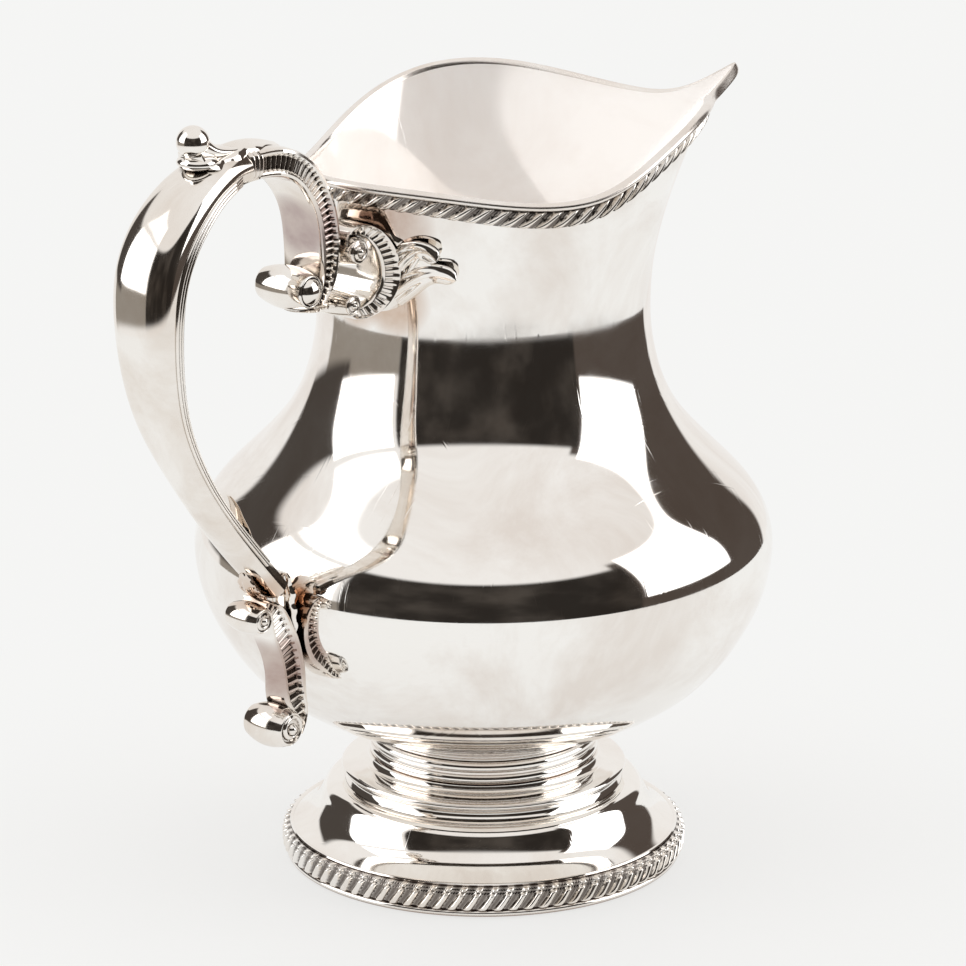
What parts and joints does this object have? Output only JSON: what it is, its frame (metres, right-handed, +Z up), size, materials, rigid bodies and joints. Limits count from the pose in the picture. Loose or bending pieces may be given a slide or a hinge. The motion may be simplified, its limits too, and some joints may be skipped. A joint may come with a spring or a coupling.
{
  "type": "water pitcher",
  "caption": "Footed silver water pitcher with a wide pouring spout, a round belly and a cast scroll handle, for holding and pouring water.",
  "frame": {"origin": "on the table, under the middle of the part's outline seen from above (the axis of the bowl, neck and foot stands 13.6 mm toward the spout from it)", "axes": "+Z up, parallel to the axis of the bowl, +X toward the spout, -X toward the handle, +Y to the left of the spout"},
  "size_m": [0.2648, 0.1676, 0.2402],
  "materials": {
    "sheet_silver": "polished sheet silver with fine wear scratches",
    "cast_silver": "polished cast silver, tarnished in the hollows",
    "chased_silver": "chased silver, dark in the grooves"
  },
  "bodies": {
    "root": {"vessel_body": "sheet_silver", "rim_wire": "sheet_silver", "rim_gadroon_border": "chased_silver", "foot_collar": "sheet_silver", "foot_stem": "sheet_silver", "foot_ledge": "sheet_silver", "foot_dome": "sheet_silver", "foot_gadroon_border": "chased_silver", "foot_base_ring": "sheet_silver", "handle_grip": "cast_silver", "grip_reeds_left": "chased_silver", "grip_reeds_right": "chased_silver", "thumb_leaf": "cast_silver", "thumb_ball": "cast_silver", "upper_scroll": "cast_silver", "upper_scroll_ribs": "chased_silver", "upper_scroll_roll": "cast_silver", "bridge_leaves": "cast_silver", "neck_bracket": "cast_silver", "neck_plate": "cast_silver", "neck_leaf_left": "cast_silver", "neck_leaf_right": "cast_silver", "grip_inner_leaf": "cast_silver", "lower_horn_leaf": "cast_silver", "lower_scroll": "cast_silver", "lower_scroll_ribs": "chased_silver", "lower_scroll_top_roll": "cast_silver", "lower_scroll_bottom_roll": "cast_silver", "belly_pad": "cast_silver"}
  },
  "joints": []
}
